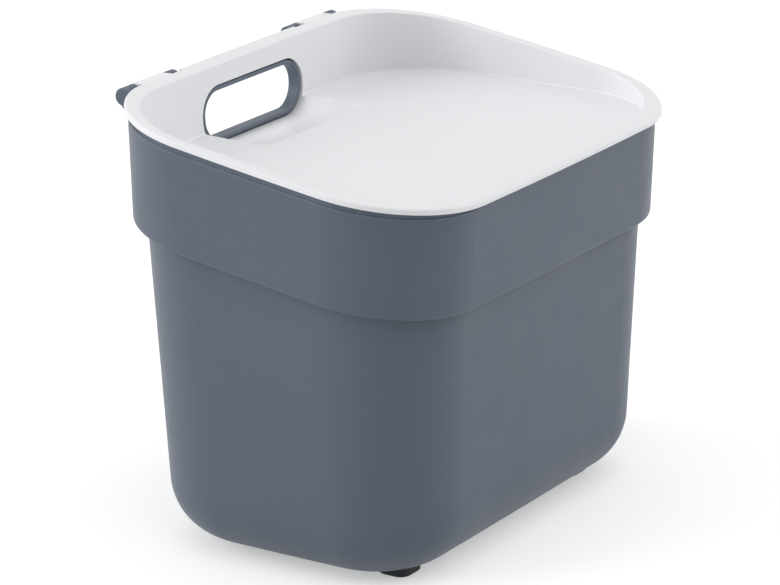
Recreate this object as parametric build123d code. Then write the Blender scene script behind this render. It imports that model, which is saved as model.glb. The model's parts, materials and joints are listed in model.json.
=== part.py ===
from build123d import *
import math
import os

# Small kitchen waste caddy: a tapered bucket, a deep collar round its mouth, and a
# sunk lid hinged on the collar's back. Lengths are millimetres and angles degrees.
# X is the width, -Y the front, +Y the hinge side and +Z up.
# While it is built, y = 0 is the middle of the bucket's mouth. The last section moves
# the whole caddy so that the frame's origin is under the middle of its box.

# Bucket, measured outside at its base and at the collar's lower edge
base_width = 215.7
base_depth = 138.2
base_shift = -2.1
mouth_width = 226.0
mouth_depth = 148.9
mouth_height = 134.0
bucket_corner_radius = 42.5
bucket_side_bow = 1.5
bucket_end_bow = 0.5
base_rounding = 27.5
bucket_wall = 2.0
floor_thickness = 2.6
seat_flange_thickness = 2.2
seat_flange_gap = 0.3

# Collar, as overhangs beyond the bucket's mouth at its lower edge
collar_overhang_side = 5.6
collar_overhang_front = 5.2
collar_overhang_back = 6.7
collar_draft_side = 0.6
collar_draft_end = 1.9
collar_corner_radius = 48.0
collar_side_bow = 1.8
collar_end_bow = 1.5
collar_wall = 1.9
collar_height = 46.0
collar_edge_round = 1.2
collar_neck_inset = 0.6
collar_neck_height = 2.2
collar_ledge_round = 0.4
collar_shelf_thickness = 2.0
bucket_seat_depth = 6.5
snap_bead_length = 16.0
snap_bead_height = 1.6
snap_bead_reach = 1.4
snap_bead_gap = 0.2
snap_bead_spacing_end = 113.0
snap_bead_spacing_side = 37.0
centring_rib_width = 1.8
centring_rib_spacing = 34.0
centring_rib_gap = 0.3

# Lid: a sloping rim round a level deck
rim_slope = 8.84
rim_height = 182.4
rim_thickness = 2.4
rim_edge_round = 1.0
lid_seat_gap = 0.4
lid_overhang_side = 1.0
lid_overhang_front = 3.3
lid_overhang_back = 2.1
lid_corner_radius = 50.2
lid_side_bow = 2.0
lid_end_bow = 1.8
lid_wall = 1.8
recess_gap_side = 0.7
recess_gap_front = 1.9
recess_gap_back = 2.2
recess_corner_radius = 43.5
recess_draft = 3.0
recess_floor_round = 0.8
recess_edge_round = 0.7
deck_sink = 16.4
lid_skirt_depth = 7.0
lid_skirt_wall = 1.4
lid_skirt_setback = 0.2

# Hand hole through the lid's back wall and the collar's back wall
hole_width = 78.7
hole_height = 26.2
hole_corner_radius = 12.8
hole_centre_drop = 10.1
hole_clearance = 0.8
surround_wall = 2.0
surround_face_round = 0.6
surround_setback = 0.4
grip_edge_round = 0.8
scoop_length = 33.0
scoop_front_width = 82.0
scoop_front_radius = 4.5
scoop_overrun = 1.15

# Hinges on the collar's back
hinge_axis_behind_collar = 4.6
hinge_axis_rise = 8.6
hinge_inner_end = 44.7
inner_ear_length = 7.6
knuckle_length = 21.4
outer_ear_length = 6.5
ear_radius = 3.95
ear_root_drop = 1.0
ear_root_height = 14.0
ear_notch_gap = 0.8
knuckle_radius = 4.2
knuckle_side_gap = 0.3
pin_radius = 2.0
pin_head_thickness = 1.6
pin_head_round = 0.35
pin_blind_depth = 5.5
pin_end_gap = 0.2
pin_press_clearance = 0.01
pin_running_clearance = 0.08
stop_heel_reach = 5.6
stop_heel_thickness = 2.8
stop_heel_angle = -25.0

# Feet under the base
foot_height = 2.3
foot_length = 16.5
foot_width = 15.0
foot_corner_radius = 5.0
foot_edge_round = 0.6
foot_side_inset = 36.2
foot_end_inset = 27.3
foot_peg_radius = 3.0
foot_peg_depth = 1.2
foot_peg_clearance = 0.05

# Larger than the caddy, for the blocks that cut it, and the least length that counts
reach = 400.0
tolerance = 0.01

# Levels that follow from the rim
deck_height = rim_height - deck_sink
hole_centre_height = rim_height - hole_centre_drop
hinge_axis_height = rim_height + hinge_axis_rise

os.makedirs("parts", exist_ok=True)


def outline(half_width, front, back, radius, side_bow, end_bow):
    """Rounded rectangle with bowed sides; the sizes are taken at the middle of each side."""
    corner_x = half_width - side_bow
    front_y = -front + end_bow
    back_y = back - end_bow
    middle_y = (back - front) / 2
    sides = [
        ThreePointArc((-corner_x, front_y), (0, -front), (corner_x, front_y)),
        ThreePointArc((corner_x, front_y), (half_width, middle_y), (corner_x, back_y)),
        ThreePointArc((corner_x, back_y), (0, back), (-corner_x, back_y)),
        ThreePointArc((-corner_x, back_y), (-half_width, middle_y), (-corner_x, front_y)),
    ]
    sketch = make_face(sides)
    return fillet(sketch.vertices(), radius)


def drafted(section, low, high):
    """Solid between two levels, whose section is given as a function of the level."""
    return loft([Pos(0, 0, low) * section(low), Pos(0, 0, high) * section(high)], ruled=True)


def rim_plane(depth):
    """Plane of the sloping rim, lowered square to itself by the given depth."""
    slope = math.radians(rim_slope)
    normal = (0, -math.sin(slope), math.cos(slope))
    return Plane(origin=(0, 0, rim_height), x_dir=(1, 0, 0), z_dir=normal).offset(-depth)


def rim_level(y, depth=0.0):
    """Height of the lowered rim plane at y."""
    slope = math.radians(rim_slope)
    return rim_height + y * math.tan(slope) - depth / math.cos(slope)


def slab(upper, lower):
    """Everything between two depths below the rim plane."""
    block = Box(reach, reach, lower - upper, align=(Align.CENTER, Align.CENTER, Align.MAX))
    return rim_plane(upper).location * block


def beam(profile, start, end):
    """Extrude a profile drawn in (y, z) along X, from start to end."""
    plane = Plane(origin=(start, 0, 0), x_dir=(0, 1, 0), z_dir=(1, 0, 0))
    return extrude(plane * profile, end - start)


def tunnel(width, height, radius, start, end):
    """Rounded bar along Y at the hand hole's height, from y = start to y = end."""
    plane = Plane(origin=(0, end, hole_centre_height), x_dir=(1, 0, 0), z_dir=(0, -1, 0))
    return extrude(plane * RectangleRounded(width, height, radius), end - start)


def on_plane(edge, plane):
    """True where the edge lies on the plane."""
    points = [edge @ 0, edge @ 0.5, edge @ 1]
    return all(abs(plane.to_local_coords(point).Z) < tolerance for point in points)


def outside(edge, section):
    """True where the middle of an edge lies outside the section at its own level."""
    point = edge @ 0.5
    face = section(point.Z).faces()[0]
    return not face.is_inside(Vector(point.X, point.Y, 0))


def mirrored(solid):
    """The same solid on the caddy's other side."""
    return mirror(solid, about=Plane.YZ)


# Sections of the bucket and the collar, as functions of the level
def bucket_section(inset):
    def section(level):
        share = (level - foot_height) / (mouth_height - foot_height)
        half_width = (base_width + (mouth_width - base_width) * share) / 2 - inset
        half_depth = (base_depth + (mouth_depth - base_depth) * share) / 2 - inset
        shift = base_shift * (1 - share)
        return outline(
            half_width, half_depth - shift, half_depth + shift,
            bucket_corner_radius - inset, bucket_side_bow, bucket_end_bow,
        )
    return section


def collar_face(inset, level):
    """Half width, front and back of the collar's wall at a level."""
    rise = level - mouth_height
    side = rise * math.tan(math.radians(collar_draft_side)) - inset
    end = rise * math.tan(math.radians(collar_draft_end)) - inset
    return collar_half_width + side, collar_front + end, collar_back + end


def collar_section(inset):
    def section(level):
        half_width, front, back = collar_face(inset, level)
        return outline(
            half_width, front, back,
            collar_corner_radius - inset, collar_side_bow, collar_end_bow,
        )
    return section


collar_half_width = mouth_width / 2 + collar_overhang_side
collar_front = mouth_depth / 2 + collar_overhang_front
collar_back = mouth_depth / 2 + collar_overhang_back
ring_low = mouth_height - collar_height
ring_high = rim_height + collar_height
collar_top_depth = rim_thickness + lid_seat_gap
collar_low_depth = rim_thickness + collar_height
seat_depth = collar_low_depth - bucket_seat_depth
flange_low_depth = seat_depth + seat_flange_thickness

collar_outer = drafted(collar_section(0), ring_low, ring_high)
collar_inner = drafted(collar_section(collar_wall), ring_low, ring_high)
collar_core = drafted(collar_section(collar_wall / 2), ring_low, ring_high)

# Bucket: a cup with a flange on which the collar sits
bucket_outer = drafted(bucket_section(0), foot_height, ring_high)
bucket_outer = fillet(bucket_outer.faces().sort_by(Axis.Z)[0].edges(), base_rounding)
floor_top = foot_height + floor_thickness
bucket_inner = drafted(bucket_section(bucket_wall), floor_top, ring_high)
bucket_inner = fillet(
    bucket_inner.faces().sort_by(Axis.Z)[0].edges(), base_rounding - bucket_wall
)
flange = drafted(collar_section(collar_wall + seat_flange_gap), ring_low, ring_high)
bucket = bucket_outer & slab(seat_depth, reach)
bucket = bucket + (flange & slab(seat_depth, flange_low_depth))
bucket = bucket - bucket_inner


# Feet, and the peg holes that they press into
def peg(radius, depth):
    return Cylinder(radius, depth, align=(Align.CENTER, Align.CENTER, Align.MIN))


def foot(x, y):
    """Low rounded pad cut to the base's underside, with a peg on top."""
    pad = extrude(RectangleRounded(foot_length, foot_width, foot_corner_radius), 2 * foot_height)
    pad = fillet(pad.faces().sort_by(Axis.Z)[0].edges(), foot_edge_round)
    stem = peg(foot_peg_radius, foot_peg_depth + foot_edge_round)
    return (Pos(x, y, 0) * pad - bucket_outer) + Pos(x, y, foot_height - foot_edge_round) * stem


feet = {}
foot_x = base_width / 2 - foot_side_inset
foot_y = base_depth / 2 - foot_end_inset
for side_name, sign_x in (("left", -1), ("right", 1)):
    for end_name, sign_y in (("front", -1), ("back", 1)):
        x = sign_x * foot_x
        y = base_shift + sign_y * foot_y
        feet[f"foot_{end_name}_{side_name}"] = foot(x, y)
        hole = peg(foot_peg_radius + foot_peg_clearance, foot_peg_depth + foot_peg_clearance)
        bucket = bucket - Pos(x, y, foot_height) * hole

# Collar ring, with a rounded lower edge and a narrower neck under the lid's rim
def rim_edges(solid, plane, middle):
    """Edges on a plane that lie outside the section of a ring's middle."""
    return [edge for edge in solid.edges() if on_plane(edge, plane) and outside(edge, middle)]


collar = (collar_outer - collar_inner) & slab(collar_top_depth, collar_low_depth)
collar_middle = collar_section(collar_wall / 2)
collar = fillet(rim_edges(collar, rim_plane(collar_low_depth), collar_middle), collar_edge_round)
neck_low_depth = collar_top_depth + collar_neck_height
neck = drafted(collar_section(collar_neck_inset), ring_low, ring_high)
collar = collar - (slab(0, neck_low_depth) - neck)
ledge = collar_section(collar_neck_inset / 2)
collar = fillet(rim_edges(collar, rim_plane(neck_low_depth), ledge), collar_ledge_round)

# Shelf that sits on the bucket's flange
shelf = collar_core & slab(seat_depth - collar_shelf_thickness, seat_depth)
collar = collar + (shelf - bucket_inner)

# Snap beads under the flange, two on each side of the collar
bead_top = flange_low_depth + snap_bead_gap
bead_ring = collar_core & slab(bead_top, bead_top + snap_bead_height)
bead_ring = bead_ring - drafted(
    collar_section(collar_wall + snap_bead_reach), ring_low, ring_high
)
for sign in (-1, 1):
    across = Pos(sign * snap_bead_spacing_end / 2, 0, 0) * Box(snap_bead_length, reach, reach)
    along = Pos(0, sign * snap_bead_spacing_side / 2, 0) * Box(reach, snap_bead_length, reach)
    collar = collar + (bead_ring & (across + along))

# Ribs that centre the bucket inside the collar's skirt
rib_ring = collar_core & slab(bead_top, collar_low_depth - collar_edge_round)
rib_ring = rib_ring - drafted(bucket_section(-centring_rib_gap), foot_height, ring_high)
ribs = Box(reach, centring_rib_width, reach)
for step in (-1, 0, 1):
    rib = Box(centring_rib_width, reach, reach)
    ribs = ribs + Pos(step * centring_rib_spacing, 0, 0) * rib
collar = collar + (rib_ring & ribs)


# Lid's recess, set out from the collar's mouth
mouth_half_width, mouth_front, mouth_back = collar_face(collar_wall + lid_wall, rim_height)
recess_half_width = mouth_half_width - recess_gap_side
recess_front = mouth_front - recess_gap_front
recess_back = mouth_back - recess_gap_back


def recess_section(grow):
    def section(level):
        inset = (rim_height - level) * math.tan(math.radians(recess_draft)) - grow
        return outline(
            recess_half_width - inset, recess_front - inset, recess_back - inset,
            recess_corner_radius + grow, collar_side_bow, collar_end_bow,
        )
    return section


def lid_wall_face(level):
    """Place of the lid's back wall, on the side that is seen, at a level."""
    return recess_back - (rim_height - level) * math.tan(math.radians(recess_draft))


# Hand hole's surround, which stands in from the collar's back wall up to the lid's
surround_width = hole_width - 2 * hole_clearance
surround_height = hole_height - 2 * hole_clearance
surround_radius = hole_corner_radius - hole_clearance
tunnel_end = collar_back + reach
surround = tunnel(surround_width, surround_height, surround_radius, 0, tunnel_end)
surround = (surround & collar_outer) - drafted(
    recess_section(surround_setback), ring_low, ring_high
)
grip = tunnel(
    surround_width - 2 * surround_wall, surround_height - 2 * surround_wall,
    surround_radius - surround_wall, 0, tunnel_end,
)
collar = (collar + surround) - grip


def hole_edges(solid, low, high):
    """Edges round the hand hole that keep between two places along Y."""
    found = []
    for edge in solid.edges():
        points = [edge @ 0, edge @ 0.5, edge @ 1]
        near = all(
            abs(point.X) < surround_width / 2 + tolerance
            and abs(point.Z - hole_centre_height) < surround_height / 2 + tolerance
            and low < point.Y < high
            for point in points
        )
        if near:
            found.append(edge)
    return found


ring_inner_back = collar_face(collar_wall, hole_centre_height)[2]
ring_outer_back = collar_face(collar_wall / 2, hole_centre_height)[2]
collar = fillet(hole_edges(collar, 0, ring_inner_back - recess_gap_back), surround_face_round)
collar = fillet(hole_edges(collar, ring_outer_back, tunnel_end), grip_edge_round)

# Hinge axis, and the places of the ears and the knuckle along it
axis_y = collar_face(0, hinge_axis_height)[2] + hinge_axis_behind_collar
axis_z = hinge_axis_height
inner_ear_end = hinge_inner_end + inner_ear_length
knuckle_start = inner_ear_end + knuckle_side_gap
knuckle_end = knuckle_start + knuckle_length
outer_ear_start = knuckle_end + knuckle_side_gap
outer_ear_end = outer_ear_start + outer_ear_length
pin_start = inner_ear_end - pin_blind_depth
pin_end = outer_ear_end + pin_head_thickness


def tangent(y, z, radius, sign):
    """Point where a line from (y, z) touches a circle about the hinge axis."""
    distance = math.hypot(y - axis_y, z - axis_z)
    towards = math.atan2(z - axis_z, y - axis_y)
    angle = towards + sign * math.acos(radius / distance)
    return axis_y + radius * math.cos(angle), axis_z + radius * math.sin(angle)


def disc(radius):
    return Pos(axis_y, axis_z) * Circle(radius)


def polygon(*points):
    return make_face(Polyline(*points, close=True))


def ear_profile():
    """Barrel round the pin, on a gusset that runs down the collar's back."""
    root_y = axis_y - hinge_axis_behind_collar - collar_edge_round
    root_top = axis_z - ear_root_drop
    root_low = root_top - ear_root_height
    deep_y = root_y - collar_overhang_back
    web = polygon(
        (root_y, root_top), tangent(root_y, root_top, ear_radius, -1), (axis_y, axis_z),
        tangent(root_y, root_low, ear_radius, 1), (root_y, root_low),
    )
    root = polygon((deep_y, root_low), (root_y, root_low), (root_y, root_top), (deep_y, root_top))
    return disc(ear_radius) + web + root


def knuckle_profile():
    """Barrel and arm of the lid's knuckle, with the heel that stops the lid."""
    edge_y = lid_back - lid_end_bow
    edge_low = rim_level(edge_y, rim_thickness)
    edge_high = rim_level(edge_y)
    arm = polygon(
        (edge_y, edge_low), (edge_y, edge_high),
        tangent(edge_y, edge_high, knuckle_radius, -1), (axis_y, axis_z),
    )
    heel = Rectangle(stop_heel_reach, stop_heel_thickness, align=(Align.MIN, Align.CENTER))
    return disc(knuckle_radius) + arm + Pos(axis_y, axis_z) * Rot(0, 0, stop_heel_angle) * heel


# Lid sections, set out from the collar's mouth
lid_half_width = collar_face(0, rim_height)[0] + lid_overhang_side
lid_front = collar_face(0, rim_level(-collar_front))[1] + lid_overhang_front
lid_back = collar_face(0, rim_level(collar_back))[2] + lid_overhang_back


def basin(grow, floor):
    """Solid that fills the sunk middle of the lid, down to a floor with a rounded foot."""
    solid = drafted(recess_section(grow), floor, ring_high)
    return fillet(solid.faces().sort_by(Axis.Z)[0].edges(), recess_floor_round + grow)


def scoop(grow):
    """Dish in front of the hand hole, whose floor climbs in a curve from the hole to the deck."""
    def section(share):
        low = hole_low + (deck_height - hole_low) * share ** 2 - grow
        high = hole_low + hole_height + grow
        width = hole_width + (scoop_front_width - hole_width) * share + 2 * grow
        radius = hole_corner_radius + (scoop_front_radius - hole_corner_radius) * share + grow
        place = Plane(
            origin=(0, scoop_start - (scoop_length + lid_wall) * share, (low + high) / 2),
            x_dir=(1, 0, 0), z_dir=(0, -1, 0),
        )
        return place * RectangleRounded(width, high - low, radius)
    return loft([section(share) for share in (0, 1 / 3, 2 / 3, 1, scoop_overrun)])


# Lid: rim plate, sunk middle with its scoop, and a skirt inside the collar's mouth
lid_outline = outline(
    lid_half_width, lid_front, lid_back, lid_corner_radius, lid_side_bow, lid_end_bow
)
rim_plate = Pos(0, 0, ring_low) * extrude(lid_outline, ring_high - ring_low)
rim_plate = rim_plate & slab(0, rim_thickness)
middle = basin(lid_wall, deck_height - lid_wall) & slab(0, reach)
skirt_face = lid_wall - lid_skirt_setback
skirt = drafted(recess_section(skirt_face), ring_low, ring_high)
skirt = skirt - drafted(recess_section(skirt_face - lid_skirt_wall), ring_low, ring_high)
skirt = skirt & slab(rim_thickness / 2, rim_thickness + lid_skirt_depth)
hole_low = hole_centre_height - hole_height / 2
scoop_start = lid_wall_face(hole_low) + lid_wall
below_deck = Pos(0, 0, deck_height) * Box(
    reach, reach, reach, align=(Align.CENTER, Align.CENTER, Align.MAX)
)
lid = rim_plate + middle + skirt + (scoop(lid_wall) & below_deck)
lid = lid - scoop(0) - basin(0, deck_height)
lid = lid - tunnel(hole_width, hole_height, hole_corner_radius, scoop_start, tunnel_end)

# Rounded edges of the rim, round the recess and outside
for round_outside, radius in ((False, recess_edge_round), (True, rim_edge_round)):
    rims = [edge for edge in lid.edges() if on_plane(edge, rim_plane(0))]
    rims = [edge for edge in rims if outside(edge, recess_section(lid_wall)) == round_outside]
    lid = fillet(rims, radius)

# Hinge pieces of one side; the other side is their mirror image
barrel = ear_profile()
ears = beam(barrel, hinge_inner_end, inner_ear_end) + beam(barrel, outer_ear_start, outer_ear_end)
ears = ears - collar_inner
ears = ears - beam(disc(pin_radius + pin_press_clearance), pin_start - pin_end_gap, pin_end)
knuckle = beam(knuckle_profile(), knuckle_start, knuckle_end)
knuckle_bore = beam(disc(pin_radius + pin_running_clearance), hinge_inner_end, pin_end)
pin_head = beam(disc(ear_radius), outer_ear_end, pin_end)
pin_head = fillet(pin_head.faces().sort_by(Axis.X)[-1].edges(), pin_head_round)
pin = beam(disc(pin_radius), pin_start, outer_ear_end) + pin_head


def notch(start, end):
    """Block that clears the lid's edge over an ear."""
    width = end - start + 2 * knuckle_side_gap
    block = Box(width, reach, reach, align=(Align.MIN, Align.MIN, Align.CENTER))
    return Pos(start - knuckle_side_gap, axis_y - ear_radius - ear_notch_gap, 0) * block


notches = notch(hinge_inner_end, inner_ear_end) + notch(outer_ear_start, pin_end)
collar = collar + ears + mirrored(ears)
lid = lid - notches - mirrored(notches)
lid = lid + knuckle + mirrored(knuckle)
lid = lid - knuckle_bore - mirrored(knuckle_bore)

# Move the caddy into its frame and write the pieces
pieces = {
    "bucket": bucket,
    "collar": collar,
    "lid": lid,
    "hinge_pin_right": pin,
    "hinge_pin_left": mirrored(pin),
}
pieces.update(feet)
whole = Compound(children=[Compound([piece]) for piece in pieces.values()]).bounding_box()
shift_y = -(whole.min.Y + whole.max.Y) / 2
for name, piece in pieces.items():
    export_step(Pos(0, shift_y, 0) * piece, f"parts/{name}.step")
print("shift", round(shift_y, 4), "hinge axis", round(axis_y + shift_y, 4), axis_z)
print("box", whole.min, whole.max)
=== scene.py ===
import json
import math

import bpy
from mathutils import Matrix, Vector

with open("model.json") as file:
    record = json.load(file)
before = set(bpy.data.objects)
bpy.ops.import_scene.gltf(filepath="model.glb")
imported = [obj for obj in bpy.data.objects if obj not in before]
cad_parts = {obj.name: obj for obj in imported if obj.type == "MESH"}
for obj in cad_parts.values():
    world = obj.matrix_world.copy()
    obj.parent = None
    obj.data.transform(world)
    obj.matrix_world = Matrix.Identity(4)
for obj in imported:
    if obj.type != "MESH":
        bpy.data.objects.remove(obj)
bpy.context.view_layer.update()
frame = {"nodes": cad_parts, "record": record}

# A small kitchen waste caddy in satin plastic, on a plain pale floor. Lengths are metres.

# Camera: a long lens, looking down on the caddy's left front edge
CAMERA_AZIMUTH = math.radians(-58.117)
CAMERA_ELEVATION = math.radians(17.792)
CAMERA_PLACE = Vector((-1.41061, -0.87656, 0.62868))
SENSOR_WIDTH = 36.0
FOCAL_LENGTH = 184.1
CLIP_START = 0.05
CLIP_END = 20.0

# Colours, as linear values
DARK_TONE = (0.088, 0.109, 0.143)
LIGHT_TONE = (0.790, 0.795, 0.815)
FOOT_TONE = (0.022, 0.024, 0.028)
FLOOR_TONE = (0.80, 0.80, 0.80)
WHITE = (1.0, 1.0, 1.0)

# Plastic: its gloss, and how fine its patterns are, in cells for each metre
PLASTIC_IOR = 1.41
GLOSS_SPREAD = 0.04
DRIFT_SCALE = 9.0
SPECK_SCALE = 900.0
GLOSS_SCALE = 60.0
EDGE_HIGHLIGHT_SCALE = 140.0
GRAIN_SCALE = 2200.0
GRAIN_HEIGHT = 0.0001

# Painted highlight on edges: how wide it is, the two cosines of the normal's turn at which the
# painted highlight starts and is full, and how much of it the least and the most highlighted
# stretches show
EDGE_WIDTH = 0.0018
EDGE_SAMPLES = 4
EDGE_STARTS = 0.995
EDGE_FULL = 0.90
EDGE_HIGHLIGHT_LEAST = 0.4
EDGE_HIGHLIGHT_MOST = 1.0

# Where the values of a noise pattern mostly lie
NOISE_LOW = 0.3
NOISE_HIGH = 0.7

# Light: a white surround that is dimmer at the left front, and three wide suns given as
# (name, azimuth, elevation, strength, width), with the side they shine from in degrees
SURROUND_DIM = 0.43
SURROUND_BRIGHT = 0.56
DIM_SIDE = math.radians(-55.0)
SUNS = [
    ("sun_above", -30.0, 75.0, 0.72, 70.0),
    ("sun_left", -140.0, 20.0, 1.75, 50.0),
    ("sun_right", 44.0, 20.0, 0.95, 50.0),
]
FLOOR_SIZE = 8.0
FLOOR_GLOW = 0.40


def new_material(name):
    """A node material that holds nothing but its output."""
    material = bpy.data.materials.new(name)
    material.use_nodes = True
    tree = material.node_tree
    tree.nodes.clear()
    return material, tree, tree.nodes.new("ShaderNodeOutputMaterial")


def math_node(tree, operation, first, second):
    """The result of a sum on two values, each one a socket or a number."""
    made = tree.nodes.new("ShaderNodeMath")
    made.operation = operation
    for place, value in enumerate((first, second)):
        if isinstance(value, float):
            made.inputs[place].default_value = value
        else:
            tree.links.new(value, made.inputs[place])
    return made.outputs["Value"]


def noise(tree, place, scale, detail=2.0, roughness=0.5):
    """Noise that runs from 0 to 1, at a scale given in cells for each metre."""
    made = tree.nodes.new("ShaderNodeTexNoise")
    made.inputs["Scale"].default_value = scale
    made.inputs["Detail"].default_value = detail
    made.inputs["Roughness"].default_value = roughness
    tree.links.new(place, made.inputs["Vector"])
    return made.outputs["Fac"]


def spread(tree, value, low, high):
    """Map a noise pattern onto low to high."""
    made = tree.nodes.new("ShaderNodeMapRange")
    made.inputs["From Min"].default_value = NOISE_LOW
    made.inputs["From Max"].default_value = NOISE_HIGH
    made.inputs["To Min"].default_value = low
    made.inputs["To Max"].default_value = high
    tree.links.new(value, made.inputs["Value"])
    return made.outputs["Result"]


def edge_mask(tree):
    """About 1 on sharp edges and 0 on open faces."""
    bevel = tree.nodes.new("ShaderNodeBevel")
    bevel.samples = EDGE_SAMPLES
    bevel.inputs["Radius"].default_value = EDGE_WIDTH
    geometry = tree.nodes.new("ShaderNodeNewGeometry")
    dot = tree.nodes.new("ShaderNodeVectorMath")
    dot.operation = "DOT_PRODUCT"
    tree.links.new(bevel.outputs["Normal"], dot.inputs[0])
    tree.links.new(geometry.outputs["Normal"], dot.inputs[1])
    mask = tree.nodes.new("ShaderNodeMapRange")
    mask.inputs["From Min"].default_value = EDGE_STARTS
    mask.inputs["From Max"].default_value = EDGE_FULL
    tree.links.new(dot.outputs["Value"], mask.inputs["Value"])
    return mask.outputs["Result"]


def plastic(name, tone, variation, roughness, grain, edge_highlight):
    """Moulded plastic: slow tone drift, fine grain in the bump, and a painted highlight that
    lightens its edges.
    """
    material, tree, output = new_material(name)
    place = tree.nodes.new("ShaderNodeTexCoord").outputs["Object"]
    drift = noise(tree, place, DRIFT_SCALE, detail=3.0)
    drift = spread(tree, drift, 1 - variation, 1 + variation)
    speck = noise(tree, place, SPECK_SCALE)
    speck = spread(tree, speck, 1 - variation / 2, 1 + variation / 2)
    colour = tree.nodes.new("ShaderNodeVectorMath")
    colour.operation = "SCALE"
    colour.inputs[0].default_value = tone
    tree.links.new(math_node(tree, "MULTIPLY", drift, speck), colour.inputs["Scale"])

    # Painted highlight: the colour is lightened along edges, more on some stretches than
    # others, to stand in for light catching them
    stretches = noise(tree, place, EDGE_HIGHLIGHT_SCALE, detail=3.0)
    stretches = spread(tree, stretches, EDGE_HIGHLIGHT_LEAST, EDGE_HIGHLIGHT_MOST)
    highlight_amount = math_node(tree, "MULTIPLY", edge_mask(tree), stretches)
    highlighted = tree.nodes.new("ShaderNodeMix")
    highlighted.data_type = "RGBA"
    highlighted.inputs["B"].default_value = (*[min(1.0, value * edge_highlight) for value in tone], 1.0)
    tree.links.new(highlight_amount, highlighted.inputs["Factor"])
    tree.links.new(colour.outputs["Vector"], highlighted.inputs["A"])

    shader = tree.nodes.new("ShaderNodeBsdfPrincipled")
    shader.inputs["IOR"].default_value = PLASTIC_IOR
    tree.links.new(highlighted.outputs["Result"], shader.inputs["Base Color"])
    gloss = noise(tree, place, GLOSS_SCALE, detail=4.0, roughness=0.6)
    gloss = spread(tree, gloss, roughness - GLOSS_SPREAD, roughness + GLOSS_SPREAD)
    tree.links.new(gloss, shader.inputs["Roughness"])
    bump = tree.nodes.new("ShaderNodeBump")
    bump.inputs["Strength"].default_value = grain
    bump.inputs["Distance"].default_value = GRAIN_HEIGHT
    tree.links.new(noise(tree, place, GRAIN_SCALE), bump.inputs["Height"])
    tree.links.new(bump.outputs["Normal"], shader.inputs["Normal"])
    tree.links.new(shader.outputs["BSDF"], output.inputs["Surface"])
    return material


def floor_material():
    """Pale floor that the camera sees as white, apart from the caddy's shadow."""
    material, tree, output = new_material("floor")
    shader = tree.nodes.new("ShaderNodeBsdfDiffuse")
    shader.inputs["Color"].default_value = (*FLOOR_TONE, 1.0)
    path = tree.nodes.new("ShaderNodeLightPath")
    seen = math_node(
        tree, "MAXIMUM", path.outputs["Is Camera Ray"], path.outputs["Is Glossy Ray"]
    )
    glow = tree.nodes.new("ShaderNodeEmission")
    tree.links.new(math_node(tree, "MULTIPLY", seen, FLOOR_GLOW), glow.inputs["Strength"])
    both = tree.nodes.new("ShaderNodeAddShader")
    tree.links.new(shader.outputs["BSDF"], both.inputs[0])
    tree.links.new(glow.outputs["Emission"], both.inputs[1])
    tree.links.new(both.outputs["Shader"], output.inputs["Surface"])
    return material


def direction(azimuth, elevation):
    """Unit vector towards a place round the caddy; azimuth 0 is the front, at -Y."""
    flat = math.cos(elevation)
    return Vector((
        math.sin(azimuth) * flat, -math.cos(azimuth) * flat, math.sin(elevation)
    ))


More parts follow.
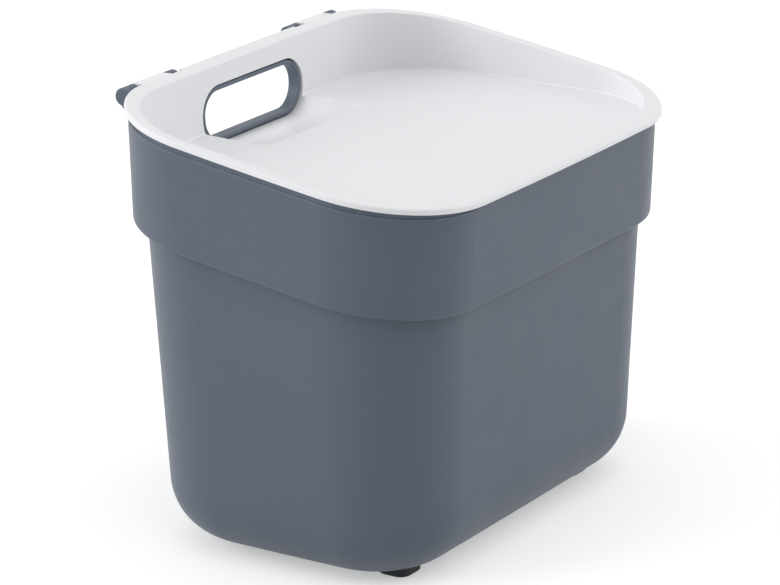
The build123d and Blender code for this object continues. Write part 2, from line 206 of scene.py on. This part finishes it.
def make_world():
    """White to the camera and in reflections, and a plain grey surround as light."""
    world = bpy.data.worlds.new("studio")
    world.use_nodes = True
    tree = world.node_tree
    tree.nodes.clear()
    output = tree.nodes.new("ShaderNodeOutputWorld")
    background = tree.nodes.new("ShaderNodeBackground")
    background.inputs["Color"].default_value = (*WHITE, 1.0)
    path = tree.nodes.new("ShaderNodeLightPath")
    seen = path.outputs["Is Camera Ray"]
    for ray in ("Is Glossy Ray", "Is Transmission Ray"):
        seen = math_node(tree, "MAXIMUM", seen, path.outputs[ray])
    towards = tree.nodes.new("ShaderNodeTexCoord").outputs["Generated"]
    dot = tree.nodes.new("ShaderNodeVectorMath")
    dot.operation = "DOT_PRODUCT"
    dot.inputs[1].default_value = direction(DIM_SIDE, 0.0)
    tree.links.new(towards, dot.inputs[0])
    lit = tree.nodes.new("ShaderNodeMapRange")
    lit.inputs["From Min"].default_value = -1.0
    lit.inputs["To Min"].default_value = SURROUND_BRIGHT
    lit.inputs["To Max"].default_value = SURROUND_DIM
    tree.links.new(dot.outputs["Value"], lit.inputs["Value"])
    strength = tree.nodes.new("ShaderNodeMapRange")
    strength.inputs["To Max"].default_value = 1.0
    tree.links.new(seen, strength.inputs["Value"])
    tree.links.new(lit.outputs["Result"], strength.inputs["To Min"])
    tree.links.new(strength.outputs["Result"], background.inputs["Strength"])
    tree.links.new(background.outputs["Background"], output.inputs["Surface"])
    bpy.context.scene.world = world


def place_object(name, data):
    """Put a new object with this data into the scene."""
    made = bpy.data.objects.new(name, data)
    bpy.context.scene.collection.objects.link(made)
    return made


def stand_towards(made, towards):
    """Turn a lamp or camera that stands in this direction so that it looks back."""
    made.rotation_mode = "QUATERNION"
    made.rotation_quaternion = towards.to_track_quat("Z", "Y")


def make_suns():
    for name, azimuth, elevation, strength, width in SUNS:
        data = bpy.data.lights.new(name, "SUN")
        data.energy = strength
        data.angle = math.radians(width)
        lamp = place_object(name, data)
        stand_towards(lamp, direction(math.radians(azimuth), math.radians(elevation)))


def make_floor():
    half = FLOOR_SIZE / 2
    mesh = bpy.data.meshes.new("floor")
    corners = [(-half, -half, 0), (half, -half, 0), (half, half, 0), (-half, half, 0)]
    mesh.from_pydata(corners, [], [(0, 1, 2, 3)])
    mesh.materials.append(floor_material())
    place_object("floor", mesh)


def make_camera():
    data = bpy.data.cameras.new("camera")
    data.sensor_width = SENSOR_WIDTH
    data.lens = FOCAL_LENGTH
    data.clip_start = CLIP_START
    data.clip_end = CLIP_END
    camera = place_object("camera", data)
    camera.location = CAMERA_PLACE
    stand_towards(camera, direction(CAMERA_AZIMUTH, CAMERA_ELEVATION))
    bpy.context.scene.camera = camera


def dress():
    """Give every CAD piece its material."""
    slots = {
        # The last number of each plastic is how much its painted edge highlight lightens the
        # colour
        "dark_plastic": plastic(
            "dark_plastic", DARK_TONE, variation=0.03, roughness=0.46, grain=0.25, edge_highlight=1.7
        ),
        "light_plastic": plastic(
            "light_plastic", LIGHT_TONE, variation=0.008, roughness=0.42, grain=0.18, edge_highlight=1.03
        ),
        "foot_rubber": plastic(
            "foot_rubber", FOOT_TONE, variation=0.05, roughness=0.70, grain=0.40, edge_highlight=1.15
        ),
    }
    for part in frame["record"]["subparts"]:
        piece = frame["nodes"][part["node"]]
        piece.data.materials.clear()
        piece.data.materials.append(slots[part["material_slot"]])


make_camera()
make_world()
make_suns()
make_floor()
dress()
bpy.context.scene.view_settings.view_transform = "Standard"
